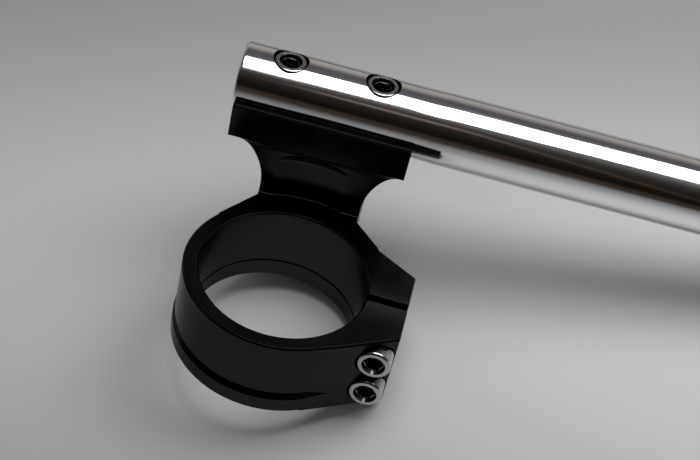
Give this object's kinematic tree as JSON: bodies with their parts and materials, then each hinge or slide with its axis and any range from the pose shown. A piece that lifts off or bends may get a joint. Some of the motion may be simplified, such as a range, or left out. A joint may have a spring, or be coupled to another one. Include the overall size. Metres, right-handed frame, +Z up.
{
  "type": "clip-on handlebar",
  "caption": "Clip-on motorcycle handlebar: black fork clamp with a slit pinch ear and a saddle, and a polished straight bar screwed down into the saddle.",
  "frame": {"origin": "on the axis of the fork bore, at the bottom face of the clamp ring", "axes": "+Z up the fork bore, +X out along the pinch ear and the bar's free end, +Y from the ring to the saddle"},
  "size_m": [0.2711, 0.0928, 0.0693],
  "materials": {
    "black_anodised_aluminium": "satin black anodised",
    "polished_aluminium": "polished",
    "bright_steel": "bright plated"
  },
  "bodies": {
    "root": {"clamp_body": "black_anodised_aluminium", "bar_tube": "polished_aluminium", "bar_screws": "bright_steel", "pinch_screws": "bright_steel"}
  },
  "joints": []
}
